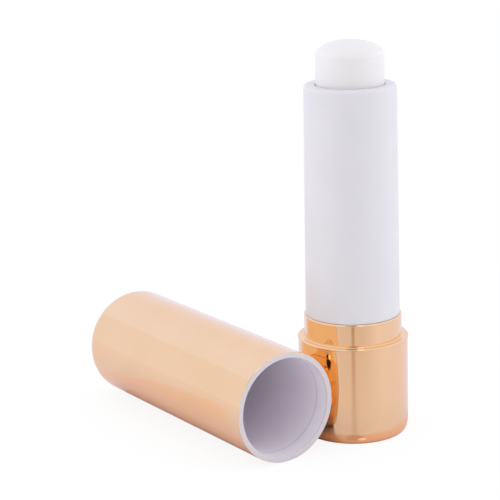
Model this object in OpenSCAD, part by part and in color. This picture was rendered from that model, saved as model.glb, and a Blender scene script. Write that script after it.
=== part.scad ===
// Lip balm stick: a twist-up case standing on its base, with the balm wound part of the way out
// and the cap lying beside it. Millimetres, +Z up, origin at the middle of the base's underside.
// Held by the base, the barrel turns. Its spiral sleeve then drives the carrier's two lugs,
// which the slotted fork tube keeps from turning, so the balm rises or sinks.
// Radii are built from the balm outwards, so every fit follows the pieces inside it.

/* [Balm] */
// Diameter of the balm
balm_d = 12.1; // [11:0.1:13]
// Length of the balm, from the carrier's floor to the top of its crown
balm_len = 44; // [32:1:48]
// Height of the rounded crown
balm_crown_h = 2.45; // [1.5:0.05:4]
// Height of balm showing above the barrel at rest
balm_shown = 7.7; // [2:0.1:16]
// Depth of the balm's top below the barrel's rim when it is wound right down
balm_sunk = 1.3; // [0.5:0.1:3]

/* [Carrier] */
// Wall of the carrier cup
cup_wall = 0.33; // [0.3:0.01:0.5]
// Height of the carrier cup
cup_h = 10; // [6:0.5:13]
// Thickness of the cup's floor
cup_floor = 1; // [0.6:0.1:1.6]
// Diameter of the two guide lugs
lug_d = 1.6; // [1.2:0.1:2]
// Height of the lugs' centres above the cup's underside
lug_h = 1.8; // [1.2:0.1:3]

/* [Swivel] */
// Wall of the slotted fork tube
fork_wall = 0.52; // [0.4:0.02:0.8]
// Thickness of the fork tube's floor
fork_floor = 1.2; // [0.8:0.1:2]
// Wall of the spiral sleeve
sleeve_wall = 0.54; // [0.4:0.02:0.8]
// Rise of the balm for one full turn of the barrel
pitch = 22; // [18:1:28]
// Section of the silicone ring that brakes the barrel
ring_d = 0.8; // [0.6:0.05:0.85]

/* [Barrel] */
// Height of the barrel above the collar
barrel_h = 41.3; // [38:0.1:48]
// Wall of the barrel's neck, inside the collar
neck_wall = 0.57; // [0.5:0.01:0.7]
// Wall of the barrel just above the collar
barrel_foot_wall = 0.77; // [0.72:0.01:0.9]
// Wall of the barrel just under its rim
barrel_top_wall = 0.47; // [0.4:0.01:0.7]
// Thickness of the rim that closes the barrel round the balm
rim_t = 1.3; // [1.1:0.1:2]
// Rounding of the rim's outer edge
rim_round = 0.6; // [0.3:0.1:0.8]
// Gap between the rim and the balm
rim_gap = 0.1; // [0.05:0.05:0.4]
// Height of the bead at the barrel's foot, which the collar traps
bead_h = 2; // [1:0.1:3]
// Catch of the bead under the collar's lower end
bead_catch = 0.18; // [0.1:0.01:0.25]

/* [Base] */
// Height of the base, up to the shoulder that the cap rests on
base_h = 17.8; // [16.5:0.1:22]
// Wall of the base shell
base_wall = 0.55; // [0.5:0.05:1]
// Thickness of the base shell's floor
base_floor = 0.8; // [0.6:0.1:1.5]
// Rounding of the base's foot
foot_round = 1.1; // [0.8:0.1:2]
// Rounding inside the base shell, between its floor and its wall
bowl_round = 0.6; // [0.3:0.1:0.9]
// Rounding of the base shell's top edge, under the collar's flange
shoulder_round = 0.1; // [0.05:0.05:0.3]
// Wall of the plastic insert beside the collar
insert_wall = 0.45; // [0.4:0.05:0.8]
// Thickness of the insert's web, which carries the fork tube
web_t = 1.2; // [0.8:0.1:2]
// Height of the steel weight
weight_h = 5; // [3:0.5:5.5]
// Rounding of the weight's edges
weight_round = 0.3; // [0.1:0.1:0.5]

/* [Collar] */
// Height of the collar above the base's shoulder
collar_h = 4.1; // [3:0.1:6]
// Wall of the collar
collar_wall = 0.43; // [0.38:0.01:0.6]
// Rounding of the collar's top edge
collar_round = 0.18; // [0.1:0.01:0.2]
// Thickness of the collar's flange, which lies on the base shell and the insert
flange_t = 0.45; // [0.4:0.05:0.6]
// Rounding of the flange's outer edge
flange_round = 0.2; // [0.1:0.02:0.2]
// How far the flange stands proud of the base's wall
flange_proud = 0.1; // [0:0.05:0.2]

/* [Cap] */
// Wall of the cap's metal shell
cap_wall = 0.5; // [0.35:0.05:0.6]
// Rounding of the cap's closed end
cap_round = 3; // [2:0.1:5]
// Thickness of the liner's closed end
liner_end = 0.8; // [0.6:0.1:1.5]
// Rounding inside the liner's closed end
liner_round = 1.5; // [0.5:0.1:2]
// Free height between the barrel's rim and the liner's closed end when the cap is on
head_room = 5.7; // [3:0.1:10]
// Thickness of the liner's lip over the shell's edge
lip_t = 0.15; // [0.15:0.05:1]
// Rounding of the lip's edges
lip_round = 0.06; // [0.02:0.01:0.06]
// Inset of the lip from the outside of the shell
lip_inset = 0.1; // [0:0.05:0.3]
// Depth of the widened mouth, which leads the liner onto the collar
mouth_depth = 2.8; // [1:0.1:4]
// Widening of the mouth, on the radius
mouth_step = 0.08; // [0.04:0.01:0.15]

/* [Cap lying beside the base] */
// Gap between the cap and the base
cap_gap = 0.2; // [0.1:0.1:5]
// How far the cap's mouth reaches past the stick's axis
cap_ahead = 6.9; // [0:0.1:20]

/* [Fits] */
// Radial clearance between the cap's liner and the collar that holds it
cap_clear = 0.04; // [0.02:0.01:0.1]
// Radial clearance of a fit that slides or turns
run_clear = 0.07; // [0.05:0.01:0.1]
// Gap of a fit that is glued, pressed or cast
glue_gap = 0.05; // [0.02:0.01:0.06]
// Clearance each side of a lug in the spiral slot
track_clear = 0.1; // [0.06:0.02:0.2]

/* [Hidden] */
$fn = 96;

gold = [0.92, 0.72, 0.55];
white = [0.93, 0.92, 0.94];
natural = [0.88, 0.87, 0.84];
steel = [0.6, 0.6, 0.62];
silicone = [0.8, 0.8, 0.84];
wax = [0.96, 0.95, 0.96];

// How far a cut runs past the face that it opens
overrun = 1;

// Radii, from the balm outwards
balm_r = balm_d / 2;
cup_bore_r = balm_r + glue_gap;
cup_r = cup_bore_r + cup_wall;
fork_bore_r = cup_r + run_clear;
fork_r = fork_bore_r + fork_wall;
sleeve_bore_r = fork_r + run_clear;
sleeve_r = sleeve_bore_r + sleeve_wall;
barrel_bore_r = sleeve_r + glue_gap;
neck_r = barrel_bore_r + neck_wall;
barrel_foot_r = barrel_bore_r + barrel_foot_wall;
barrel_top_r = barrel_bore_r + barrel_top_wall;
rim_bore_r = balm_r + rim_gap;
collar_bore_r = neck_r + run_clear;
collar_r = collar_bore_r + collar_wall;
bead_r = collar_bore_r + bead_catch;
insert_bore_r = bead_r + run_clear;
socket_r = collar_r + glue_gap;
insert_r = socket_r + insert_wall;
bowl_r = insert_r + glue_gap;
base_r = bowl_r + base_wall;
flange_r = base_r + flange_proud;
cap_r = base_r;
cap_bore_r = cap_r - cap_wall;
liner_r = cap_bore_r - glue_gap;
liner_bore_r = collar_r + cap_clear;
mouth_r = liner_bore_r + mouth_step;

// Heights, from the foot upwards
weight_top = base_floor + weight_h;
web_z = weight_top + glue_gap;
fork_z = web_z + web_t;
fork_floor_top = fork_z + fork_floor;
barrel_z = fork_floor_top + ring_d + run_clear;
bead_top = barrel_z + bead_h;
ledge_z = bead_top + run_clear;
flange_z = base_h - flange_t;
collar_top = base_h + collar_h;
barrel_step_z = collar_top + run_clear;
barrel_top = barrel_step_z + barrel_h;
rim_z = barrel_top - rim_t;
sleeve_z = fork_floor_top + run_clear;
sleeve_top = rim_z - glue_gap;
fork_top = rim_z - run_clear;

// Carrier heights: at rest, wound down and wound up until the cup nears the rim
balm_top = barrel_top + balm_shown;
balm_z = balm_top - balm_len;
cup_z = balm_z - glue_gap - cup_floor;
travel_down = balm_shown + balm_sunk;
travel_up = fork_top - run_clear - cup_h - cup_z;
lug_z = cup_z + lug_h;
lug_reach = sleeve_r - run_clear;

// Slots: straight ones in the fork tube, spiral ones in the sleeve
slot_w = lug_d + 2 * run_clear;
slot_z = lug_z - travel_down - slot_w / 2;
slot_len = travel_down + travel_up + slot_w;
track_w = lug_d + 2 * track_clear;
track_z = lug_z - travel_down - track_w / 2;
track_len = travel_down + travel_up + track_w;
track_mid_r = (sleeve_bore_r + sleeve_r) / 2;
track_slope = atan(pitch / (2 * PI * track_mid_r));
track_half_angle = asin(track_w / sin(track_slope) / 2 / track_mid_r);
track_slices = 60;
lug_angles = [0, 180];

// Cap, measured along its own axis from the mouth
liner_depth = barrel_top - base_h + head_room;
liner_len = liner_depth + liner_end;
cap_len = liner_len + glue_gap + cap_wall;

// Crown of the balm: a superellipse, a little fuller at the shoulder than a plain ellipse is
crown_power = 1.9;
crown_steps = 14;

// Half section of a turned block on the axis, with its outer corners rounded
module turned(r, z0, z1, low_round = 0, high_round = 0) {
    translate([0, z0 + low_round]) square([r, z1 - z0 - low_round - high_round]);
    if (low_round > 0) rounded_corner(r, z0, low_round, 0);
    if (high_round > 0) rounded_corner(r, z1 - high_round, high_round, high_round);
}

// One rounded corner of a half section, as high as its own radius
module rounded_corner(r, z, radius, drop) {
    translate([0, z]) square([r - radius, radius]);
    translate([r - radius, z + radius - drop]) circle(r = radius);
}

// Half section of a plain ring
module ring_section(r_in, r_out, z0, z1) {
    translate([r_in, z0]) square([r_out - r_in, z1 - z0]);
}

// Gold cup that forms the outside of the base
module base_shell() {
    color(gold) rotate_extrude() difference() {
        turned(base_r, 0, flange_z, foot_round, shoulder_round);
        turned(bowl_r, base_floor, flange_z + overrun, bowl_round);
    }
}

// Steel slug that makes the base stand firmly
module base_weight() {
    color(steel) rotate_extrude()
        turned(insert_bore_r - glue_gap, base_floor, weight_top, weight_round, weight_round);
}

// Plastic core of the base: a skirt over the weight, a web, and sockets for the bead and the collar
module base_insert() {
    color(natural) rotate_extrude() difference() {
        turned(insert_r, base_floor + bowl_round, flange_z);
        turned(insert_bore_r, 0, web_z);
        turned(insert_bore_r, fork_z, base_h);
        turned(socket_r, ledge_z, base_h);
    }
}

// Gold collar round the barrel's neck, with a flange that closes the base and ends in a fine bead
module collar_band() {
    color(gold) rotate_extrude() difference() {
        union() {
            turned(collar_r, ledge_z, collar_top, 0, collar_round);
            turned(flange_r, flange_z, base_h, flange_round, flange_round);
        }
        turned(collar_bore_r, 0, collar_top + overrun);
    }
}

// Slotted tube that keeps the carrier from turning, standing on its own floor
module fork_tube() {
    color(natural) difference() {
        rotate_extrude() {
            turned(insert_bore_r - glue_gap, fork_z, fork_floor_top);
            ring_section(fork_bore_r, fork_r, fork_z, fork_top);
        }
        for (angle = lug_angles) rotate(angle)
            translate([fork_bore_r - fork_wall, -slot_w / 2, slot_z])
                cube([3 * fork_wall, slot_w, slot_len]);
    }
}

// Silicone ring between the fork tube's floor and the barrel's foot
module brake_ring() {
    color(silicone) rotate_extrude()
        translate([(sleeve_r + insert_bore_r) / 2, fork_floor_top + ring_d / 2]) circle(d = ring_d);
}

// White outer tube with a trapped foot, a slight draft and a rim that closes round the balm
module barrel() {
    color(white) rotate_extrude() difference() {
        union() {
            turned(bead_r, barrel_z, bead_top);
            turned(neck_r, barrel_z, barrel_step_z);
            polygon([[0, barrel_step_z], [barrel_foot_r, barrel_step_z],
                     [barrel_top_r, barrel_top - rim_round], [0, barrel_top - rim_round]]);
            turned(barrel_top_r, barrel_top - 2 * rim_round, barrel_top, 0, rim_round);
        }
        turned(barrel_bore_r, 0, rim_z);
        turned(rim_bore_r, 0, barrel_top + overrun);
    }
}

// Tube fixed inside the barrel, with a two-start spiral track for the carrier's lugs
module spiral_sleeve() {
    color(natural) difference() {
        rotate_extrude() ring_section(sleeve_bore_r, sleeve_r, sleeve_z, sleeve_top);
        for (angle = lug_angles)
            translate([0, 0, track_z])
                rotate(angle + 360 * (track_z - lug_z) / pitch)
                    linear_extrude(height = track_len, twist = -360 * track_len / pitch,
                                   slices = track_slices, $fn = 8)
                        track_section();
    }
}

// Cross section of one spiral track: a wedge that runs past both faces of the sleeve
module track_section() {
    near = sleeve_bore_r - sleeve_wall;
    far = sleeve_r + sleeve_wall;
    polygon([for (r = [near, far]) for (side = [-1, 1])
             [r * cos(track_half_angle), (r == near ? side : -side) * r * sin(track_half_angle)]]);
}

// Cup that holds the balm's foot, with a lug on each side
module carrier_cup() {
    color(natural) difference() {
        union() {
            rotate_extrude() turned(cup_r, cup_z, cup_z + cup_h);
            for (angle = lug_angles) rotate(angle)
                translate([balm_r - cup_wall, 0, lug_z]) rotate([0, 90, 0])
                    cylinder(d = lug_d, h = lug_reach - balm_r + cup_wall);
        }
        rotate_extrude() turned(cup_bore_r, cup_z + cup_floor, cup_z + cup_h + overrun);
    }
}

// Stick of balm with a domed crown
module balm() {
    crown_z = balm_top - balm_crown_h;
    color(wax) rotate_extrude() polygon(concat(
        [[0, balm_z], [balm_r, balm_z]],
        [for (i = [0 : crown_steps - 1]) let (a = 90 * i / crown_steps)
            [balm_r * pow(cos(a), 2 / crown_power), crown_z + balm_crown_h * pow(sin(a), 2 / crown_power)]],
        [[0, balm_top]]));
}

// Lays a cap piece on its side beside the base, with its mouth towards -Y
module laid_beside() {
    translate([-base_r - cap_gap - cap_r, -cap_ahead, cap_r]) rotate([-90, 0, 0]) children();
}

// Gold outer cup of the cap
module cap_shell() {
    color(gold) laid_beside() rotate_extrude() difference() {
        turned(cap_r, lip_t, cap_len, 0, cap_round);
        turned(cap_bore_r, 0, cap_len - cap_wall, 0, cap_round - cap_wall);
    }
}

// White liner of the cap, with a lip over the shell's edge and a mouth that is a little wider
module cap_liner() {
    color(white) laid_beside() rotate_extrude() difference() {
        union() {
            turned(cap_r - lip_inset, 0, lip_t, lip_round, lip_round);
            turned(liner_r, lip_t / 2, liner_len, 0, cap_round - cap_wall - glue_gap);
        }
        turned(mouth_r, -overrun, mouth_depth);
        turned(liner_bore_r, -overrun, liner_depth, 0, liner_round);
    }
}

base_shell();
base_weight();
base_insert();
collar_band();
fork_tube();
brake_ring();
barrel();
spiral_sleeve();
carrier_cup();
balm();
cap_shell();
cap_liner();
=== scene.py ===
# %% [markdown]
# # A twist-up lip balm stick and its cap
#
# The stick stands on a rose-gold base. Above it are a narrower gold collar, a white barrel and the
# balm, wound part of the way out. The metal cap with its white liner lies on its side next to the base.
#
# Every piece that shows is round about its own axis, as a drawn cup or a moulded tube is. So the
# shapes come from short outlines, and the work goes into true edges, fine gaps and good finishes.

import math
from itertools import pairwise

import bpy
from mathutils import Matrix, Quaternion, Vector


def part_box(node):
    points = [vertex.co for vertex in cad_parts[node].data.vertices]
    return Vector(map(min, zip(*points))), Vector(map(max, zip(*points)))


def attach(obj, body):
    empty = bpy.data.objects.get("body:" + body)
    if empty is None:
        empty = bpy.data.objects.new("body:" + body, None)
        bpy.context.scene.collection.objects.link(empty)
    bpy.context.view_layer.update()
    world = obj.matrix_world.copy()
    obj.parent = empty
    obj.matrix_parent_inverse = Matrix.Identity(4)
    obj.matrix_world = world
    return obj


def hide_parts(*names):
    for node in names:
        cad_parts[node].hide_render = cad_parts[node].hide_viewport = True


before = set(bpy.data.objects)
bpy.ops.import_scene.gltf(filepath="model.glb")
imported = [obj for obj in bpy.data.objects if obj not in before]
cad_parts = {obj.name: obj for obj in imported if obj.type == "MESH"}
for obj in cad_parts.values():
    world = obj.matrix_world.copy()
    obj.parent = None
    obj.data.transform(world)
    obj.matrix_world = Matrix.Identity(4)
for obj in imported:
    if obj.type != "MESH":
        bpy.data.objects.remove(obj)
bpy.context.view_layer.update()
MM = 0.001
scene = bpy.context.scene

# %% [markdown]
# ## The camera
#
# The camera comes first, because every later choice is judged through it. The photo was taken from
# some way off with a long lens, about 15 degrees above the table and 34 degrees to the left of the
# cap's axis. A long lens keeps the two tubes nearly parallel. The small roll is the photo's own tilt.
# A camera can be placed by eye, but this one was fitted to outlines measured in the photo, because
# a difference of one degree already shows at the ellipses of the rim and the mouth.

# %% Camera
camera_distance = 333.81 * MM
camera_azimuth = math.radians(-33.969)
camera_elevation = math.radians(14.58)
camera_roll = math.radians(1.482)
camera_target = Vector((-15.057, 10.144, 33.790)) * MM
focal_length_mm = 134.97
sensor_width_mm = 36
camera_near, camera_far = 10 * MM, 10


def direction(azimuth, elevation):
    """Unit vector from the object towards a place: azimuth 0 is in front, positive to the right."""
    flat = math.cos(elevation)
    return Vector((math.sin(azimuth) * flat, -math.cos(azimuth) * flat, math.sin(elevation)))


towards_camera = direction(camera_azimuth, camera_elevation)
camera = bpy.data.objects.new("camera", bpy.data.cameras.new("camera"))
scene.collection.objects.link(camera)
scene.camera = camera
camera.data.sensor_width = sensor_width_mm
camera.data.lens = focal_length_mm
camera.data.clip_start = camera_near
camera.data.clip_end = camera_far
camera.rotation_mode = "QUATERNION"
level_view = (-towards_camera).to_track_quat("-Z", "Y")
camera.rotation_quaternion = level_view @ Quaternion((0, 0, 1), -camera_roll)
camera.location = camera_target + towards_camera * camera_distance
print("camera at", [round(c / MM, 1) for c in camera.location], "mm")

# %% [markdown]
# ## Tools for node trees
#
# The world, the table and every finish are trees of nodes, which could be wired by hand in the
# Shader Editor. A short function stands here for each move that comes back: adding a node with its
# values, taking the part of a vector along an axis, making a soft mask, and mixing by a mask.

# %% Tools for node trees
# The Mix node has sockets of one name for every kind of value, so the colours go by number
mix_colour_inputs = (6, 7)
mix_colour_output = 2


def add_node(tree, kind, **values):
    """A new node with its settings and its sockets' values filled in by name."""
    node = tree.nodes.new(kind)
    for name, value in values.items():
        if name in node.inputs:
            node.inputs[name].default_value = value
        else:
            setattr(node, name, value)
    return node


def math_node(tree, operation, a, b):
    """The result socket of a sum on two sockets or numbers."""
    node = add_node(tree, "ShaderNodeMath", operation=operation)
    for i, value in enumerate((a, b)):
        if isinstance(value, (int, float)):
            node.inputs[i].default_value = value
        else:
            tree.links.new(value, node.inputs[i])
    return node.outputs[0]


def soft_step(tree, value, start, end):
    """A mask that goes softly from 0 to 1 while a value goes from start to end."""
    step = add_node(tree, "ShaderNodeMapRange", interpolation_type="SMOOTHSTEP")
    step.inputs["From Min"].default_value = start
    step.inputs["From Max"].default_value = end
    tree.links.new(value, step.inputs["Value"])
    return step.outputs["Result"]


def part_along(tree, vector, axis):
    """How far a vector socket reaches along an axis."""
    node = add_node(tree, "ShaderNodeVectorMath", operation="DOT_PRODUCT")
    node.inputs[1].default_value = axis
    tree.links.new(vector, node.inputs[0])
    return node.outputs["Value"]


def length_of(tree, vector):
    """The length of a vector socket."""
    node = add_node(tree, "ShaderNodeVectorMath", operation="LENGTH")
    tree.links.new(vector, node.inputs[0])
    return node.outputs["Value"]


def mixed(tree, mask, first, second):
    """The socket of a mix of two colours by a mask. Each colour is a socket or a value."""
    mix = add_node(tree, "ShaderNodeMix", data_type="RGBA")
    for i, colour in zip(mix_colour_inputs, (first, second)):
        if isinstance(colour, tuple):
            mix.inputs[i].default_value = colour
        else:
            tree.links.new(colour, mix.inputs[i])
    tree.links.new(mask, mix.inputs["Factor"])
    return mix.outputs[mix_colour_output]


def mixed_shaders(tree, mask, first, second):
    """The socket of a mix of two shaders by a mask."""
    mix = add_node(tree, "ShaderNodeMixShader")
    tree.links.new(mask, mix.inputs["Fac"])
    tree.links.new(first, mix.inputs[1])
    tree.links.new(second, mix.inputs[2])
    return mix.outputs[0]


# %% [markdown]
# ## A white studio
#
# Bright metal only tints what it mirrors, so its looks are the room's. The photo looks as if it was
# lit in a white tent. So the world is plain white to the camera, and in reflections it is a tent.
# Its seam leans, so that the lying cap shows it once, as a fine step along its side, and its back
# is a warmer white. The tent has an opening at the front left, which small roundings show as fine
# dark lines, and a lamp beside it, which they show as a spark. To dull surfaces the world is plain
# and a little weaker, because the softboxes add the rest, and the barrel keeps its soft shading. A
# picture of a studio could do all this too, but soft masks are easier to change and need no file.

# %% Tent colours
ambient_level = 0.86
ambient_tint = (0.985, 0.985, 1.0, 1)
white = (1, 1, 1, 1)
tent_wall = (0.895, 0.925, 1.18, 1)
tent_top = (0.92, 0.98, 1.34, 1)
tent_back = (0.905, 0.885, 1.04, 1)
front_azimuth = -37
seam_lean = (0.6, 0, 1)
seam_low, seam_high = 0.23, 0.30
back_start, back_full = 0.55, 1.0
opening_colour = (0.04, 0.025, 0.02, 1)
lamp_colour = (2.8, 2.8, 3.2, 1)
sky_ovals = {
    # name: colour, azimuth, elevation, half width and half height in degrees
    "opening": (opening_colour, -35, 40, 15, 19),
    "lamp": (lamp_colour, -17, 48, 7, 8),
}
oval_edge = 0.3
front = direction(math.radians(front_azimuth), 0)
print("the front of the tent lies along", [round(c, 2) for c in front])

# %% Masks for the sky
def seen_directly(tree):
    """A socket that is 1 for rays that show the surroundings: camera, mirror and glass rays."""
    path = add_node(tree, "ShaderNodeLightPath")
    total = path.outputs["Is Camera Ray"]
    for name in ("Is Glossy Ray", "Is Transmission Ray"):
        total = math_node(tree, "MAXIMUM", total, path.outputs[name])
    return total


def sky_oval(tree, looking, azimuth, elevation, half_width, half_height):
    """A soft mask of the directions inside an upright oval. Its angles are in degrees."""
    azimuth, elevation = math.radians(azimuth), math.radians(elevation)
    sideways = Vector((math.cos(azimuth), math.sin(azimuth), 0)) / math.sin(math.radians(half_width))
    upwards = direction(azimuth, elevation + math.pi / 2) / math.sin(math.radians(half_height))
    place = add_node(tree, "ShaderNodeCombineXYZ")
    tree.links.new(part_along(tree, looking, sideways), place.inputs["X"])
    tree.links.new(part_along(tree, looking, upwards), place.inputs["Y"])
    inside = soft_step(tree, length_of(tree, place.outputs[0]), 1 + oval_edge, 1 - oval_edge)
    ahead = math_node(tree, "GREATER_THAN", part_along(tree, looking, direction(azimuth, elevation)), 0)
    return math_node(tree, "MULTIPLY", inside, ahead)


# %% World
scene.world = bpy.data.worlds.new("white tent")
scene.world.use_nodes = True
tree = scene.world.node_tree
tree.nodes.clear()
looking = add_node(tree, "ShaderNodeTexCoord").outputs["Generated"]
above_seam = soft_step(tree, part_along(tree, looking, seam_lean), seam_low, seam_high)
at_back = soft_step(tree, part_along(tree, looking, -front), back_start, back_full)
tent = mixed(tree, at_back, mixed(tree, above_seam, tent_wall, tent_top), tent_back)
for colour, *place in sky_ovals.values():
    tent = mixed(tree, sky_oval(tree, looking, *place), tent, colour)
ambient = add_node(tree, "ShaderNodeBackground", Color=ambient_tint, Strength=ambient_level)
mirrored = add_node(tree, "ShaderNodeBackground", Strength=1.0)
backdrop = add_node(tree, "ShaderNodeBackground", Color=white, Strength=1.0)
tree.links.new(tent, mirrored.inputs["Color"])
seen = mixed_shaders(tree, seen_directly(tree), ambient.outputs[0], mirrored.outputs[0])
path = add_node(tree, "ShaderNodeLightPath")
seen = mixed_shaders(tree, path.outputs["Is Camera Ray"], seen, backdrop.outputs[0])
output = add_node(tree, "ShaderNodeOutputWorld")
tree.links.new(seen, output.inputs["Surface"])
scene.view_settings.view_transform = "Standard"
print("world strength", ambient_level, "on dull surfaces, with", len(sky_ovals), "ovals in the tent")

# %% [markdown]
# ## Softboxes
#
# Two large softboxes stand square to the view, left and right, and a weaker one hangs above. That
# makes the sides of the barrel lighter than its middle, as in the photo. They light only dull
# surfaces: a mirror would show them as hard bright patches, and the photo has none. A sun or a
# small lamp could light the stick as well, but only a large area gives such soft edges of shade.

# %% Softboxes
softbox_distance = 420 * MM
softbox_size = 320 * MM
softboxes = {
    # name: azimuth and elevation in degrees, power in watts
    "left softbox": (-124, 20, 0.38),
    "right softbox": (56, 20, 0.38),
    "top softbox": (-34, 80, 0.12),
}
stick_middle = Vector((-8, 6, 30)) * MM
for name, (azimuth, elevation, watts) in softboxes.items():
    lamp = bpy.data.lights.new(name, "AREA")
    lamp.size = softbox_size
    lamp.energy = watts
    holder = bpy.data.objects.new(name, lamp)
    scene.collection.objects.link(holder)
    away = direction(math.radians(azimuth), math.radians(elevation))
    holder.location = stick_middle + away * softbox_distance
    holder.rotation_euler = (-away).to_track_quat("-Z", "Y").to_euler()
    holder.visible_glossy = False
print(len(softboxes), "softboxes")

# %% [markdown]
# ## Sizes
#
# The frame says where each piece is, so its radii and heights are read from there. What a box can't
# say, such as a wall or a rounding, is a named size in millimetres. All sizes could be typed in
# again, but then the solids and the finished pieces would drift apart with the next change.

# %% Sizes from the frame
def half_width(node):
    """Half the width of a node from left to right, which is the radius of a round piece."""
    low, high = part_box(node)
    return (high.x - low.x) / 2


base_r = half_width("base_shell")
base_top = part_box("base_shell")[1].z
collar_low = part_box("collar_band")[0].z
collar_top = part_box("collar_band")[1].z
flange_r = half_width("collar_band")
barrel_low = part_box("barrel")[0].z
barrel_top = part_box("barrel")[1].z
bead_r = half_width("barrel")
balm_r = half_width("balm")
balm_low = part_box("balm")[0].z
balm_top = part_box("balm")[1].z
cap_r = half_width("cap_shell")
cap_axis = (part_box("cap_shell")[0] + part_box("cap_shell")[1]) / 2
mouth_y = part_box("cap_liner")[0].y
cap_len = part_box("cap_shell")[1].y - mouth_y
liner_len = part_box("cap_liner")[1].y - mouth_y
print("base radius", round(base_r / MM, 2), "barrel top", round(barrel_top / MM, 2))
print("cap length", round(cap_len / MM, 2))

# %% [markdown]
# ## The table
#
# The camera looks down on the upright walls of the base and the collar, so these mirror the table
# and never the sky. To the camera the table is pure white, with a faint soft shadow that fades out
# a hand's width away. In mirrors it is polished and also shows the warm shade of the cap, a wedge
# such as a wide lamp at the right would leave, and the shade close round the base. A soft brown
# strip of painted shadow runs out under the tent's dark opening, and gives the fine dark line down
# the middle of the base and the collar. Far off, the table turns into the tent. One plain white
# plane would do for the barrel, but the metal would then be as flat as paint, because it mirrors
# what lies round it.

# %% Table colours and places
table_size = 4.0
table_colour = (0.93, 0.93, 0.94, 1)
mirror_colour = (0.84, 0.805, 0.97, 1)
cap_shade_colour = (0.90, 0.74, 0.77, 1)
base_shade_colour = (0.92, 0.66, 0.64, 1)
# A painted shadow on the table under the tent's dark opening, seen only in mirrors
painted_shadow_strip_colour = (0.52, 0.38, 0.36, 1)
table_polish = 0.03
table_ior = 2.2
shadow_share = 0.14
shadow_lift = 0.16
shadow_near, shadow_far = 40 * MM, 120 * MM
sweep_near, sweep_far = 100 * MM, 500 * MM
# The painted shadow strip: its width, its halo, its strength and where it starts
strip_core, strip_edge = 0.02, 0.13
strip_halo_core, strip_halo_edge = 0.2, 1.8
strip_halo_share = 0.4
strip_faint = 0.03
strip_full = 80 * MM
strip_start, strip_clear = 5 * MM, 8 * MM
strip_least_out = 1 * MM
base_shade_near, base_shade_far = 4 * MM, 6 * MM
shade_edge = 1.5 * MM
side_lamp_azimuth = math.radians(39)
wedge_start = -2.7 * MM
wedge_end = 2.6 * MM
end_shade_place = (-4 * MM, -3.6 * MM)
end_shade_r = 11 * MM
print("the table turns into the tent between", round(sweep_near / MM), "and", round(sweep_far / MM), "mm")

# %% Masks for the table
def painted_shadow_strip_mask(tree, place):
    """The painted shadow under the opening: a narrow wedge in a wide halo, stronger as it goes out."""
    out = part_along(tree, place, front)
    aside = math_node(tree, "ABSOLUTE", part_along(tree, place, (-front.y, front.x, 0)), 0)
    share = math_node(tree, "DIVIDE", aside, math_node(tree, "MAXIMUM", out, strip_least_out))
    strength = add_node(tree, "ShaderNodeMapRange")
    strength.inputs["From Max"].default_value = strip_full
    strength.inputs["To Min"].default_value = strip_faint
    tree.links.new(out, strength.inputs["Value"])
    core = soft_step(tree, share, strip_edge, strip_core)
    halo = math_node(tree, "MULTIPLY", soft_step(tree, share, strip_halo_edge, strip_halo_core),
                     strip_halo_share)
    both = math_node(tree, "MULTIPLY", math_node(tree, "MAXIMUM", core, halo), strength.outputs[0])
    begun = soft_step(tree, out, base_r + strip_start, base_r + strip_clear)
    return math_node(tree, "MULTIPLY", both, begun)


def cap_shade_mask(tree, place):
    """The cap's shade: a wedge as from a lamp at the right, and a round one at its closed end."""
    low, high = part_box("cap_shell")
    middle = (low.x + high.x) / 2
    lamp_side = direction(side_lamp_azimuth, 0)
    into_shade = Vector((-lamp_side.y, lamp_side.x, 0))
    near_edge = into_shade.dot(Vector((middle + wedge_start, low.y, 0)))
    far_edge = high.y - wedge_end
    inwards = part_along(tree, place, into_shade)
    wedge = soft_step(tree, inwards, near_edge - shade_edge, near_edge + shade_edge)
    for axis, edge in (((0, 1, 0), far_edge), ((1, 0, 0), middle)):
        short_of = soft_step(tree, part_along(tree, place, axis), edge + shade_edge, edge - shade_edge)
        wedge = math_node(tree, "MULTIPLY", wedge, short_of)
    from_end = add_node(tree, "ShaderNodeVectorMath", operation="SUBTRACT")
    from_end.inputs[1].default_value = (middle + end_shade_place[0], high.y + end_shade_place[1], 0)
    tree.links.new(place, from_end.inputs[0])
    reach = length_of(tree, from_end.outputs[0])
    round_shade = soft_step(tree, reach, end_shade_r + shade_edge, end_shade_r - shade_edge)
    return math_node(tree, "MAXIMUM", wedge, round_shade)


def base_shade_mask(tree, place):
    """The shade close round the base, which its rounded foot shows as a warm band."""
    return soft_step(tree, length_of(tree, place), base_r + base_shade_far, base_r + base_shade_near)


# %% Looks of the table
def new_material(name):
    """An empty node material and its output node."""
    material = bpy.data.materials.new(name)
    material.use_nodes = True
    material.node_tree.nodes.clear()
    return material, material.node_tree, add_node(material.node_tree, "ShaderNodeOutputMaterial")


def table_to_camera(tree, place, dull):
    """Pure white with a faint shadow near the object."""
    lift = add_node(tree, "ShaderNodeEmission", Color=white, Strength=shadow_lift)
    lifted = add_node(tree, "ShaderNodeAddShader")
    plain = add_node(tree, "ShaderNodeEmission", Color=white, Strength=1.0)
    near = soft_step(tree, length_of(tree, place), shadow_far, shadow_near)
    tree.links.new(dull.outputs[0], lifted.inputs[0])
    tree.links.new(lift.outputs[0], lifted.inputs[1])
    return mixed_shaders(
        tree, math_node(tree, "MULTIPLY", near, shadow_share), plain.outputs[0], lifted.outputs[0])


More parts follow.
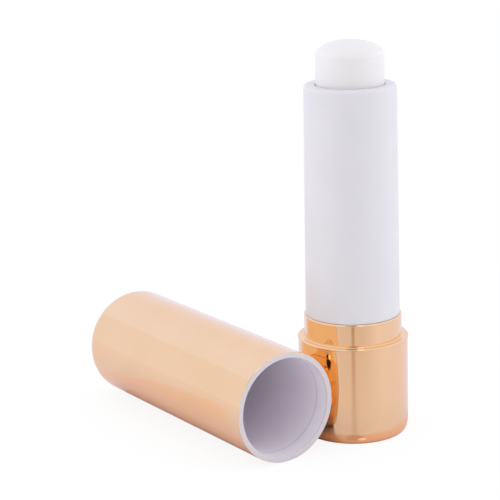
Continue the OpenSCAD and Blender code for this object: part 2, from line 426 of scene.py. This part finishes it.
def table_to_mirrors(tree, place):
    """Polished, with the shades and the painted shadow strip near by, and as bright as the tent far off.
    """
    polished = add_node(tree, "ShaderNodeBsdfPrincipled", Roughness=table_polish, IOR=table_ior)
    colour = mixed(tree, cap_shade_mask(tree, place), mirror_colour, cap_shade_colour)
    colour = mixed(tree, base_shade_mask(tree, place), colour, base_shade_colour)
    tree.links.new(colour, polished.inputs["Base Color"])
    # The strip is a painted shadow, matte brown on the polished table
    painted_shadow_strip = add_node(tree, "ShaderNodeBsdfDiffuse", Color=painted_shadow_strip_colour)
    near = mixed_shaders(tree, painted_shadow_strip_mask(tree, place), polished.outputs[0], painted_shadow_strip.outputs[0])
    sweep = add_node(tree, "ShaderNodeEmission", Color=tent_wall, Strength=1.0)
    return mixed_shaders(
        tree, soft_step(tree, length_of(tree, place), sweep_near, sweep_far), near, sweep.outputs[0])


# %% Table
bpy.ops.object.select_all(action="DESELECT")
bpy.ops.mesh.primitive_plane_add(size=table_size, location=(0, 0, 0))
table = bpy.context.object
table.name = "table"
material, tree, output = new_material("white table")
place = add_node(tree, "ShaderNodeTexCoord").outputs["Object"]
path = add_node(tree, "ShaderNodeLightPath")
dull = add_node(tree, "ShaderNodeBsdfDiffuse", Color=table_colour)
seen = dull.outputs[0]
for ray, look in (("Is Glossy Ray", table_to_mirrors(tree, place)),
                  ("Is Camera Ray", table_to_camera(tree, place, dull))):
    seen = mixed_shaders(tree, path.outputs[ray], seen, look)
tree.links.new(seen, output.inputs["Surface"])
table.data.materials.append(material)
print("table placed, with", len(tree.nodes), "nodes")

# %% [markdown]
# ## Drawing out a ring
#
# A turned piece can be made in three ways: as a spun outline, as a cylinder cut with insets, or as a
# ring that is extruded and scaled again and again. The last is used here. Each step is one plain
# move along the outline, the walls are all quads, and no doubled seam is left where a spin ends.
# The open ends are then closed, either onto each other for a tube or with a flat face on the axis.

# %% Tools for turned pieces
ring_sides = 256
sharp_angle = math.radians(32)
merge_distance = 0.001 * MM


def arc(centre, size, start, end, steps):
    """Points (radius, height) of a rounded corner of two half axes, with angles in degrees."""
    points = []
    for i in range(steps + 1):
        angle = math.radians(start + (end - start) * i / steps)
        points.append((centre[0] + size[0] * math.cos(angle), centre[1] + size[1] * math.sin(angle)))
    return points


def corner(r, z, rounding, start, steps):
    """A quarter round whose square corner would be at (r, z). start is the angle it starts from."""
    middle = math.radians(start + 45)
    inwards = (math.copysign(rounding, math.cos(middle)), math.copysign(rounding, math.sin(middle)))
    return arc((r - inwards[0], z - inwards[1]), (rounding, rounding), start, start + 90, steps)


def draw_out(name, outline):
    """Extrudes and scales a ring along an outline, and closes what is open."""
    bpy.ops.object.select_all(action="DESELECT")
    radius, height = outline[0]
    bpy.ops.mesh.primitive_circle_add(vertices=ring_sides, radius=radius, location=(0, 0, height))
    piece = bpy.context.object
    piece.name = name
    piece.data.name = name
    bpy.ops.object.transform_apply()
    bpy.ops.object.mode_set(mode="EDIT")
    bpy.ops.mesh.select_all(action="SELECT")
    for (r, z), (next_r, next_z) in pairwise(outline):
        bpy.ops.mesh.extrude_region_move(TRANSFORM_OT_translate={"value": (0, 0, next_z - z)})
        bpy.ops.transform.resize(value=(next_r / r, next_r / r, 1), center_override=(0, 0, next_z))
    bpy.ops.mesh.select_all(action="SELECT")
    bpy.ops.mesh.remove_doubles(threshold=merge_distance)
    bpy.ops.mesh.select_all(action="DESELECT")
    bpy.ops.mesh.select_non_manifold()
    bpy.ops.mesh.fill_holes(sides=0)
    bpy.ops.mesh.select_all(action="SELECT")
    bpy.ops.mesh.normals_make_consistent(inside=False)
    bpy.ops.object.mode_set(mode="OBJECT")
    return piece


def finish_shading(piece):
    """Smooth shading that keeps flat faces flat and true corners sharp."""
    bpy.ops.object.select_all(action="DESELECT")
    piece.select_set(True)
    bpy.context.view_layer.objects.active = piece
    bpy.ops.object.shade_smooth_by_angle(angle=sharp_angle)
    even = piece.modifiers.new("even normals", "WEIGHTED_NORMAL")
    even.keep_sharp = True
    bpy.ops.object.modifier_apply(modifier=even.name)
    print(piece.name, len(piece.data.polygons), "faces")
    return piece


# %% [markdown]
# ## The base shell
#
# The base is a thin metal cup. Its foot turns in over a tall curve, which mirrors the shade close
# round the base, as a warm band. The top edge is nearly square, because the collar's flange lies
# on it. A cylinder with a bevelled foot comes close, but a bevel has one radius, and this curve is
# about twice as tall as it is deep. So the cup is drawn from an outline.

# %% Base shell
base_wall = 0.55 * MM
base_floor = 0.8 * MM
foot_width = 0.95 * MM
foot_height = 2.1 * MM
shoulder_round = 0.05 * MM
inner_edge_round = 0.05 * MM
bowl_round = 0.6 * MM


def base_outline():
    bowl_r = base_r - base_wall
    foot = arc((base_r - foot_width, foot_height), (foot_width, foot_height), -90, 0, steps=20)
    outer_edge = corner(base_r, base_top, shoulder_round, 0, steps=5)
    inner_edge = corner(bowl_r, base_top, inner_edge_round, 90, steps=5)
    bowl_centre = (bowl_r - bowl_round, base_floor + bowl_round)
    bowl = arc(bowl_centre, (bowl_round, bowl_round), 0, -90, steps=8)
    return foot + outer_edge + inner_edge + bowl


base_shell = finish_shading(draw_out("base_shell_skin", base_outline()))

# %% [markdown]
# ## The collar band
#
# The collar is a drawn ring that stands in the base. Its flange lies on the base's top edge and
# ends in a rounded bead, a little proud of the wall, with a ledge that falls slightly to the
# collar. The pale ledge shows the back of the tent, and the roundings show its dark opening. It
# could be a step in the base's outline, but as a ring of its own it keeps the seam under its flange.

# %% Collar band
collar_r = 8.75 * MM
collar_wall = 0.43 * MM
collar_round = 0.28 * MM
collar_inner_round = 0.1 * MM
flange_t = 0.45 * MM
flange_low_round = 0.08 * MM
bead_crown_r = 9.6 * MM
bead_rise = 0.22 * MM
ledge_low_r = 9.1 * MM
ledge_sink = 0.06 * MM
collar_fillet = 0.16 * MM


def collar_outline():
    bore_r = collar_r - collar_wall
    flange_top = base_top + flange_t
    bead_centre = (bead_crown_r, flange_top - bead_rise)
    bead = arc(bead_centre, (flange_r - bead_crown_r, bead_rise), 0, 90, steps=14)
    ledge = [(ledge_low_r, flange_top - ledge_sink)]
    fillet_centre = (collar_r + collar_fillet, flange_top - ledge_sink + collar_fillet)
    fillet = arc(fillet_centre, (collar_fillet, collar_fillet), 270, 180, steps=6)
    top = (corner(collar_r, collar_top, collar_round, 0, steps=8)
           + corner(bore_r, collar_top, collar_inner_round, 90, steps=5))
    return ([(bore_r, collar_low), (collar_r, collar_low), (collar_r, base_top)]
            + corner(flange_r, base_top, flange_low_round, -90, steps=5) + bead + ledge + fillet + top
            + [(bore_r, collar_low)])


collar_band = finish_shading(draw_out("collar_band_skin", collar_outline()))

# %% [markdown]
# ## The barrel
#
# The barrel is a moulded tube with a little draft, so it is slightly narrower at the top. Its rim
# turns in over a soft round and ends in a fine edge close to the balm. A cylinder with a Solidify
# modifier has one thickness all over. This outline has the thin wall, the thicker rim, and the
# hidden neck that turns in the collar, with a bead at its foot.

# %% Barrel
barrel_foot_r = 8.45 * MM
barrel_top_r = 8.15 * MM
barrel_bore_r = 7.68 * MM
neck_r = 8.25 * MM
bead_height = 2 * MM
bead_round = 0.25 * MM
rim_round = 0.6 * MM
rim_thickness = 1.3 * MM
rim_bore_r = 6.15 * MM
rim_edge_round = 0.22 * MM
barrel_step_gap = 0.02 * MM
barrel_step_round = 0.06 * MM
rim_fillet = 0.3 * MM


def barrel_outline():
    step_z = collar_top + barrel_step_gap
    bead = (corner(bead_r, barrel_low, bead_round, -90, steps=5)
            + corner(bead_r, barrel_low + bead_height, bead_round, 0, steps=5))
    neck = [(neck_r, barrel_low + bead_height), (neck_r, step_z)]
    step = corner(barrel_foot_r, step_z, barrel_step_round, -90, steps=6)
    rim = (corner(barrel_top_r, barrel_top, rim_round, 0, steps=14)
           + corner(rim_bore_r, barrel_top, rim_edge_round, 90, steps=8))
    inner_z = barrel_top - rim_thickness
    fillet_centre = (barrel_bore_r - rim_fillet, inner_z - rim_fillet)
    fillet = arc(fillet_centre, (rim_fillet, rim_fillet), 90, 0, steps=6)
    under_rim = [(rim_bore_r, inner_z)] + fillet
    foot = [(barrel_bore_r, barrel_low)]
    return foot + bead + neck + step + rim + under_rim + foot


barrel = finish_shading(draw_out("barrel_skin", barrel_outline()))

# %% [markdown]
# ## The balm
#
# The balm is cast as a round bullet with a low domed crown. Cast wax is never perfectly true, so a
# soft cloud texture moves its skin by a few hundredths of a millimetre. More would look lumpy. The
# crown could be part of a ball, but that would meet the side at a corner. A low ellipse runs into
# it smoothly, and a power a little under 2 draws its shoulder in a touch.

# %% Balm
crown_height = 2.45 * MM
crown_power = 1.9
crown_steps = 28
balm_rings = 24
balm_foot_round = 0.4 * MM
wax_waves = 4.5 * MM
wax_wave_height = 0.04 * MM


def balm_outline():
    foot = corner(balm_r, balm_low, balm_foot_round, -90, steps=6)
    crown_z = balm_top - crown_height
    side = [(balm_r, balm_low + (crown_z - balm_low) * i / balm_rings) for i in range(1, balm_rings)]
    crown = []
    for i in range(crown_steps + 1):
        angle = math.pi / 2 * i / crown_steps
        reach = max(math.cos(angle), 0) ** (2 / crown_power)
        rise = math.sin(angle) ** (2 / crown_power)
        crown.append((balm_r * reach, crown_z + crown_height * rise))
    return foot + side + crown


def soften_wax(piece):
    """Draws the skin in, a little more here than there. A middle level of 1 never moves it out."""
    clouds = bpy.data.textures.new("wax waves", "CLOUDS")
    clouds.noise_scale = wax_waves
    clouds.noise_depth = 1
    waves = piece.modifiers.new("wax waves", "DISPLACE")
    waves.texture = clouds
    waves.texture_coords = "LOCAL"
    waves.strength = wax_wave_height
    waves.mid_level = 1
    bpy.context.view_layer.objects.active = piece
    bpy.ops.object.modifier_apply(modifier=waves.name)
    return piece


balm = finish_shading(soften_wax(draw_out("balm_stick", balm_outline())))

# %% [markdown]
# ## The cap's metal shell
#
# The shell is drawn from one disc, so its closed end has a generous round. It is drawn out upright
# with its mouth down, as if it stood on the table, and then laid down beside the base in edit mode,
# so that its object stays at the origin. Its own axis then runs along Y. It could be drawn lying
# down at once, but an outline of radii and heights is easier to read when the piece stands.

# %% Cap shell
cap_wall = 0.5 * MM
cap_end_round = 3 * MM
cap_lip = 0.15 * MM
shell_edge_round = 0.1 * MM


def lay_down(piece):
    """Turns a piece about X so that its mouth faces the viewer, and moves it to the cap's place."""
    bpy.ops.object.select_all(action="DESELECT")
    piece.select_set(True)
    bpy.context.view_layer.objects.active = piece
    bpy.ops.object.mode_set(mode="EDIT")
    bpy.ops.mesh.select_all(action="SELECT")
    bpy.ops.transform.rotate(value=math.radians(90), orient_axis="X", center_override=(0, 0, 0))
    bpy.ops.transform.translate(value=(cap_axis.x, mouth_y, cap_axis.z))
    bpy.ops.object.mode_set(mode="OBJECT")
    return piece


def cap_shell_outline():
    bore_r = cap_r - cap_wall
    inner_round = cap_end_round - cap_wall
    edge = (corner(bore_r, cap_lip, shell_edge_round, 180, steps=5)
            + corner(cap_r, cap_lip, shell_edge_round, -90, steps=5))
    outside = corner(cap_r, cap_len, cap_end_round, 0, steps=28)
    inner_centre = (bore_r - inner_round, cap_len - cap_wall - inner_round)
    inside = arc(inner_centre, (inner_round, inner_round), 0, 90, steps=16)
    return inside[::-1] + edge + outside


cap_shell = finish_shading(lay_down(draw_out("cap_shell_skin", cap_shell_outline())))

# %% [markdown]
# ## The cap's liner
#
# The white liner is a moulded cup inside the shell. Its thin lip covers the metal's cut edge right
# to the outside, and turns softly into the mouth. The mouth widens a little towards the lip, to
# lead the cap onto the collar, and a fine step parts it from the bore. A smaller copy of the shell
# would be quicker, but the liner's wall and its rounds are not the shell's.

# %% Cap liner
lip_inset = 0.02 * MM
lip_round = 0.06 * MM
lip_inner_round = 0.2 * MM
mouth_r = 8.87 * MM
mouth_depth = 2.8 * MM
mouth_step = 0.02 * MM
mouth_step_length = 0.2 * MM
liner_bore_r = 8.79 * MM
liner_r = 9.3 * MM
liner_end = 0.8 * MM
liner_round = 1.5 * MM
liner_outer_round = 2.45 * MM


def liner_outline():
    lip_r = cap_r - lip_inset
    depth = liner_len - liner_end
    inner_centre = (liner_bore_r - liner_round, depth - liner_round)
    inside = arc(inner_centre, (liner_round, liner_round), 90, 0, steps=12)
    slope = [(liner_bore_r, mouth_depth + mouth_step_length), (liner_bore_r + mouth_step, mouth_depth)]
    lip = (corner(mouth_r, 0, lip_inner_round, 180, steps=10) + corner(lip_r, 0, lip_round, -90, steps=8)
           + corner(lip_r, cap_lip, lip_round, 0, steps=8))
    outside = [(liner_r, cap_lip)] + corner(liner_r, liner_len, liner_outer_round, 0, steps=12)
    return inside + slope + lip + outside


cap_liner = finish_shading(lay_down(draw_out("cap_liner_skin", liner_outline())))

# %% [markdown]
# ## Effects that the finishes share
#
# Three effects turn up in more than one finish, so each is a node group: slow clouds that vary a
# colour or a gloss, a skin of long waves and fine grain, and fine lines that run round a turned
# piece. Each gives only masks and heights, and the shader that uses them stays in its material.

# %% Node groups
noise_roughness = 0.55


def new_group(name, inputs, outputs):
    """An empty node group. inputs are (name, default) pairs, a default of None being a vector."""
    group = bpy.data.node_groups.new(name, "ShaderNodeTree")
    for socket, default in inputs:
        kind = "NodeSocketVector" if default is None else "NodeSocketFloat"
        made = group.interface.new_socket(socket, in_out="INPUT", socket_type=kind)
        if default is not None:
            made.default_value = default
    for socket in outputs:
        group.interface.new_socket(socket, in_out="OUTPUT", socket_type="NodeSocketFloat")
    return group, group.nodes.new("NodeGroupInput"), group.nodes.new("NodeGroupOutput")


def noise(tree, vector, scale, detail=3.0):
    """A noise texture's value, with sockets for its vector and its scale."""
    node = add_node(tree, "ShaderNodeTexNoise", Detail=detail, Roughness=noise_roughness)
    tree.links.new(vector, node.inputs["Vector"])
    tree.links.new(scale, node.inputs["Scale"])
    return node.outputs["Fac"]


def make_clouds():
    group, inside, outside = new_group(
        "clouds", [("Vector", None), ("Scale", 100), ("Low", 0.35), ("High", 0.65)], ["Mask"])
    value = noise(group, inside.outputs["Vector"], inside.outputs["Scale"])
    spread = add_node(group, "ShaderNodeMapRange", interpolation_type="SMOOTHSTEP")
    group.links.new(value, spread.inputs["Value"])
    group.links.new(inside.outputs["Low"], spread.inputs["From Min"])
    group.links.new(inside.outputs["High"], spread.inputs["From Max"])
    group.links.new(spread.outputs["Result"], outside.inputs["Mask"])
    return group


def make_skin():
    sockets = [("Vector", None), ("Wave Scale", 300), ("Wave Height", 1), ("Grain Scale", 6000),
               ("Grain Height", 0.1)]
    group, inside, outside = new_group("skin", sockets, ["Height"])
    parts = []
    for part in ("Wave", "Grain"):
        value = noise(group, inside.outputs["Vector"], inside.outputs[part + " Scale"], detail=1.0)
        parts.append(math_node(group, "MULTIPLY", value, inside.outputs[part + " Height"]))
    group.links.new(math_node(group, "ADD", *parts), outside.inputs["Height"])
    return group


def make_turning_lines():
    group, inside, outside = new_group(
        "turning lines", [("Vector", None), ("Scale", 60), ("Stretch", 60)], ["Lines"])
    stretch = add_node(group, "ShaderNodeCombineXYZ", X=1.0, Y=1.0)
    group.links.new(inside.outputs["Stretch"], stretch.inputs["Z"])
    squeezed = add_node(group, "ShaderNodeVectorMath", operation="MULTIPLY")
    group.links.new(inside.outputs["Vector"], squeezed.inputs[0])
    group.links.new(stretch.outputs[0], squeezed.inputs[1])
    lines = noise(group, squeezed.outputs[0], inside.outputs["Scale"], detail=5.0)
    group.links.new(lines, outside.inputs["Lines"])
    return group


clouds_group = make_clouds()
skin_group = make_skin()
lines_group = make_turning_lines()
print("groups:", [g.name for g in bpy.data.node_groups])

# %% [markdown]
# ## Building a finish
#
# Each finish starts alike: a Principled shader, and Object coordinates turned so that Z runs along
# the piece's own axis. The coordinates come from the object and not from the view, so the pattern
# stays on the piece when the camera or the piece moves.

# %% Tools for finishes
def new_finish(name, lies_down=False, **constants):
    """A material with one Principled shader, its constants set, and its turned coordinates."""
    material, tree, output = new_material(name)
    shader = add_node(tree, "ShaderNodeBsdfPrincipled")
    for socket, value in constants.items():
        shader.inputs[socket.replace("_", " ")].default_value = value
    coordinates = add_node(tree, "ShaderNodeTexCoord")
    turned = add_node(tree, "ShaderNodeMapping")
    if lies_down:
        turned.inputs["Location"].default_value = (-cap_axis.x, cap_axis.z, 0)
        turned.inputs["Rotation"].default_value = (math.radians(90), 0, 0)
    tree.links.new(coordinates.outputs["Object"], turned.inputs["Vector"])
    tree.links.new(shader.outputs[0], output.inputs["Surface"])
    return material, tree, shader, turned.outputs[0]


def use_group(tree, group, vector, **values):
    """A group node on the given coordinates, with its other inputs filled in."""
    node = add_node(tree, "ShaderNodeGroup", node_tree=group)
    tree.links.new(vector, node.inputs["Vector"])
    for name, value in values.items():
        node.inputs[name.replace("_", " ")].default_value = value
    return node


def blend_colours(tree, mask, first, second, target):
    """Feeds a socket with a mix of two colours by a mask."""
    tree.links.new(mixed(tree, mask, first, second), target)


def vary(tree, mask, low, high, target):
    """Feeds a socket with a number that runs from low to high with a mask."""
    spread = add_node(tree, "ShaderNodeMapRange")
    spread.inputs["To Min"].default_value = low
    spread.inputs["To Max"].default_value = high
    tree.links.new(mask, spread.inputs["Value"])
    tree.links.new(spread.outputs["Result"], target)


def add_bump(tree, shader, height, depth):
    """Feeds the shader's normal from a height of 0 to 1 that is depth metres deep."""
    bump = add_node(tree, "ShaderNodeBump", Distance=depth, Strength=1.0)
    tree.links.new(height, bump.inputs["Height"])
    tree.links.new(bump.outputs[0], shader.inputs["Normal"])


# %% [markdown]
# ## Rose gold
#
# The metal is bright and lacquered. The metal alone gives the warm colour, and the clear coat over
# it gives the pale rim wherever the surface turns away. A plain metal of one colour could do, but
# its rims would be almost as warm as its middle. Long shallow waves bend the reflections a little,
# as on any thin drawn metal, and very fine lines run round the piece.

# %% Rose gold
gold_deep = (0.948, 0.620, 0.302, 1)
gold_pale = (0.960, 0.640, 0.325, 1)
gold_bright, gold_hazed = 0.035, 0.16
gold_line_share = 0.05
gold_skin_depth = 0.006 * MM


def make_gold(name, lies_down):
    material, tree, shader, vector = new_finish(
        name, lies_down, Metallic=1.0, Coat_Weight=0.5, Coat_Roughness=0.02, Coat_IOR=1.5)
    clouds = use_group(tree, clouds_group, vector, Scale=90)
    haze = use_group(tree, clouds_group, vector, Scale=240, Low=0.5, High=0.75)
    lines = use_group(tree, lines_group, vector, Scale=160, Stretch=45)
    blend_colours(tree, clouds.outputs[0], gold_deep, gold_pale, shader.inputs["Base Color"])
    worn = math_node(tree, "MULTIPLY", haze.outputs[0], lines.outputs[0])
    vary(tree, worn, gold_bright, gold_hazed, shader.inputs["Roughness"])
    skin = use_group(
        tree, skin_group, vector, Wave_Scale=150, Wave_Height=1.0, Grain_Scale=5000, Grain_Height=0.02)
    fine = math_node(tree, "MULTIPLY", lines.outputs[0], gold_line_share)
    add_bump(tree, shader, math_node(tree, "ADD", skin.outputs[0], fine), gold_skin_depth)
    return material


gold_standing = make_gold("rose gold standing", False)
gold_lying = make_gold("rose gold lying", True)
print("metal finishes:", gold_standing.name, "and", gold_lying.name)

# %% [markdown]
# ## White plastics
#
# Barrel and liner are the same kind of moulded plastic, faintly lilac and satin, and a little light
# travels under the skin. Their faint lines run round them, as on a turned mould. The liner is painted
# a much lighter white than the barrel, and its bore lighter than its greyer lip: this is painted
# light, standing in for the light inside the cap. A thin painted shade line lies in the step where
# the bore begins. These two could be pieces with a finish of their own. A mask on the depth is
# enough, and it leaves the liner in one piece.

# %% White plastics
white_reach = 0.8 * MM
white_reach_tint = (1.0, 0.9, 1.0)
white_haze = 0.12
white_line_share = 0.2
white_skin_depth = 0.004 * MM
barrel_bright, barrel_shade = (0.770, 0.752, 0.785, 1), (0.756, 0.740, 0.775, 1)
# The liner's white is much lighter than the barrel's: painted light for the inside of the cap
liner_bright_painted_light, liner_dim_painted_light = (0.957, 0.897, 0.975, 1), (0.949, 0.888, 0.967, 1)
barrel_satin, liner_satin = 0.34, 0.3
# The lip keeps a greyer white, so the painted light lies only in the bore
lip_colour = (0.705, 0.645, 0.67, 1)
lip_depth_near, lip_depth_far = 0.05 * MM, 0.5 * MM
# A painted shade line in the step where the bore begins
step_shade_colour = (0.80, 0.75, 0.82, 1)
step_shade_depth = mouth_depth + mouth_step_length
step_shade_width = 0.4 * MM


def make_white(name, lies_down, bright, shade, satin):
    material, tree, shader, vector = new_finish(
        name, lies_down, Subsurface_Weight=0.12, Subsurface_Scale=white_reach, IOR=1.46)
    shader.inputs["Subsurface Radius"].default_value = white_reach_tint
    clouds = use_group(tree, clouds_group, vector, Scale=120)
    speck = use_group(tree, clouds_group, vector, Scale=2600, Low=0.45, High=0.8)
    lines = use_group(tree, lines_group, vector, Scale=220, Stretch=30)
    blend_colours(tree, clouds.outputs[0], bright, shade, shader.inputs["Base Color"])
    gloss = math_node(tree, "MULTIPLY", speck.outputs[0], lines.outputs[0])
    vary(tree, gloss, satin, satin + white_haze, shader.inputs["Roughness"])
    skin = use_group(
        tree, skin_group, vector, Wave_Scale=220, Wave_Height=0.5, Grain_Scale=9000, Grain_Height=0.25)
    fine = math_node(tree, "MULTIPLY", lines.outputs[0], white_line_share)
    add_bump(tree, shader, math_node(tree, "ADD", skin.outputs[0], fine), white_skin_depth)
    return material


def grey_lip_and_step_shade(finish):
    """Gives the liner's lip a greyer white than its painted-light bore, and paints a shade line in the
    step.
    """
    tree = finish.node_tree
    colour = next(node for node in tree.nodes if node.type == "BSDF_PRINCIPLED").inputs["Base Color"]
    inner = colour.links[0].from_socket
    place = add_node(tree, "ShaderNodeTexCoord").outputs["Object"]
    depth = math_node(tree, "SUBTRACT", part_along(tree, place, (0, 1, 0)), mouth_y)
    lip = soft_step(tree, depth, lip_depth_far, lip_depth_near)
    # The painted shade line in the step
    from_step_shade = math_node(tree, "ABSOLUTE", math_node(tree, "SUBTRACT", depth, step_shade_depth), 0)
    step_shade = soft_step(tree, from_step_shade, step_shade_width, 0)
    with_step_shade = mixed(tree, step_shade, inner, step_shade_colour)
    tree.links.new(mixed(tree, lip, with_step_shade, lip_colour), colour)
    return finish


barrel_white = make_white("satin white barrel", False, barrel_bright, barrel_shade, barrel_satin)
# The liner's finish has painted light in its bore and a painted shade line at its step
liner_white = grey_lip_and_step_shade(make_white("satin white liner", True, liner_bright_painted_light, liner_dim_painted_light, liner_satin))
print("plastic finishes:", barrel_white.name, "and", liner_white.name)

# %% [markdown]
# ## Balm
#
# Wax is soft to look at because light goes a long way into it and comes out elsewhere. So most of
# its look is subsurface light. A plain white gloss would be quicker to render, but it would look
# hard. A thin bloom of pale specks and a slow unevenness in gloss keep it from looking like plastic.

# %% Balm wax
wax_colour = (0.845, 0.825, 0.835, 1)
bloom_colour = (0.875, 0.860, 0.865, 1)
wax_reach = 1.6 * MM
wax_reach_tint = (1.0, 0.85, 0.75)
wax_glossy, wax_dull = 0.32, 0.5
wax_skin_depth = 0.02 * MM


def make_wax():
    material, tree, shader, vector = new_finish(
        "balm wax", Subsurface_Weight=0.55, Subsurface_Scale=wax_reach, IOR=1.43)
    shader.inputs["Subsurface Radius"].default_value = wax_reach_tint
    bloom = use_group(tree, clouds_group, vector, Scale=1400, Low=0.55, High=0.85)
    pools = use_group(tree, clouds_group, vector, Scale=260)
    blend_colours(tree, bloom.outputs[0], wax_colour, bloom_colour, shader.inputs["Base Color"])
    vary(tree, pools.outputs[0], wax_glossy, wax_dull, shader.inputs["Roughness"])
    skin = use_group(
        tree, skin_group, vector, Wave_Scale=420, Wave_Height=1.0, Grain_Scale=3500, Grain_Height=0.15)
    add_bump(tree, shader, skin.outputs[0], wax_skin_depth)
    return material


balm_wax = make_wax()
print("wax with", len(balm_wax.node_tree.nodes), "nodes")

# %% [markdown]
# ## The pieces inside
#
# The core, fork tube, sleeve and carrier are unpigmented mouldings, the weight is turned steel and
# the brake ring is silicone. They show only when the stick is taken apart, but each gets the finish
# that it would have on the bench. One grey for all would be simpler, and less of a help there.

# %% Natural plastic
natural_pale, natural_shade = (0.74, 0.72, 0.66, 1), (0.70, 0.68, 0.62, 1)
natural_glossy, natural_dull = 0.3, 0.55
natural_reach = 1.2 * MM
natural_skin_depth = 0.006 * MM


def make_natural():
    material, tree, shader, vector = new_finish(
        "natural moulding", Subsurface_Weight=0.35, Subsurface_Scale=natural_reach, IOR=1.49)
    clouds = use_group(tree, clouds_group, vector, Scale=180)
    lines = use_group(tree, lines_group, vector, Scale=200, Stretch=12)
    blend_colours(tree, clouds.outputs[0], natural_pale, natural_shade, shader.inputs["Base Color"])
    vary(tree, lines.outputs[0], natural_glossy, natural_dull, shader.inputs["Roughness"])
    skin = use_group(tree, skin_group, vector, Wave_Scale=300, Grain_Scale=7000, Grain_Height=0.4)
    add_bump(tree, shader, skin.outputs[0], natural_skin_depth)
    return material


natural_plastic = make_natural()
print("inside finish:", natural_plastic.name)

# %% Turned steel
steel_pale, steel_deep = (0.52, 0.52, 0.53, 1), (0.42, 0.42, 0.44, 1)
steel_bright, steel_dull = 0.2, 0.5
steel_line_depth = 0.01 * MM


def make_steel():
    material, tree, shader, vector = new_finish("turned steel", Metallic=1.0)
    lines = use_group(tree, lines_group, vector, Scale=300, Stretch=80)
    clouds = use_group(tree, clouds_group, vector, Scale=160)
    blend_colours(tree, clouds.outputs[0], steel_pale, steel_deep, shader.inputs["Base Color"])
    vary(tree, lines.outputs[0], steel_bright, steel_dull, shader.inputs["Roughness"])
    add_bump(tree, shader, lines.outputs[0], steel_line_depth)
    return material


turned_steel = make_steel()
print("inside finish:", turned_steel.name)

# %% Silicone
silicone_bare, silicone_dusty = (0.62, 0.62, 0.68, 1), (0.76, 0.76, 0.78, 1)
silicone_glossy, silicone_dull = 0.35, 0.7
silicone_reach = 0.8 * MM
silicone_skin_depth = 0.004 * MM


def make_silicone():
    material, tree, shader, vector = new_finish(
        "silicone", Subsurface_Weight=0.3, Subsurface_Scale=silicone_reach, IOR=1.42)
    dust = use_group(tree, clouds_group, vector, Scale=3000, Low=0.5, High=0.8)
    blend_colours(tree, dust.outputs[0], silicone_bare, silicone_dusty, shader.inputs["Base Color"])
    vary(tree, dust.outputs[0], silicone_glossy, silicone_dull, shader.inputs["Roughness"])
    skin = use_group(tree, skin_group, vector, Wave_Scale=900, Grain_Scale=9000, Grain_Height=0.3)
    add_bump(tree, shader, skin.outputs[0], silicone_skin_depth)
    return material


silicone = make_silicone()
print("inside finish:", silicone.name)

# %% [markdown]
# ## Finishes on, and everything riding
#
# Each new piece takes its finish, rides on the body of the node that it stands for, and hides that
# node. The pieces inside stay as the frame has them and only change their finish.

# %% Assign and ride
skins = {
    # node: piece, body, finish, slot
    "base_shell": (base_shell, "base", gold_standing, "gold_metal"),
    "collar_band": (collar_band, "base", gold_standing, "gold_metal"),
    "barrel": (barrel, "barrel", barrel_white, "white_barrel"),
    "balm": (balm, "carrier", balm_wax, "balm_wax"),
    "cap_shell": (cap_shell, "cap", gold_lying, "gold_metal"),
    "cap_liner": (cap_liner, "cap", liner_white, "white_liner"),
}
for node, (piece, body, finish, slot) in skins.items():
    piece.data.materials.clear()
    piece.data.materials.append(finish)
    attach(piece, body)
    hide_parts(node)

inside_finishes = {
    "base_weight": turned_steel,
    "base_insert": natural_plastic,
    "fork_tube": natural_plastic,
    "brake_ring": silicone,
    "spiral_sleeve": natural_plastic,
    "carrier_cup": natural_plastic,
}
for node, finish in inside_finishes.items():
    for material_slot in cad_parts[node].material_slots:
        material_slot.material = finish
print(len(skins), "new pieces and", len(inside_finishes), "pieces with a new finish")
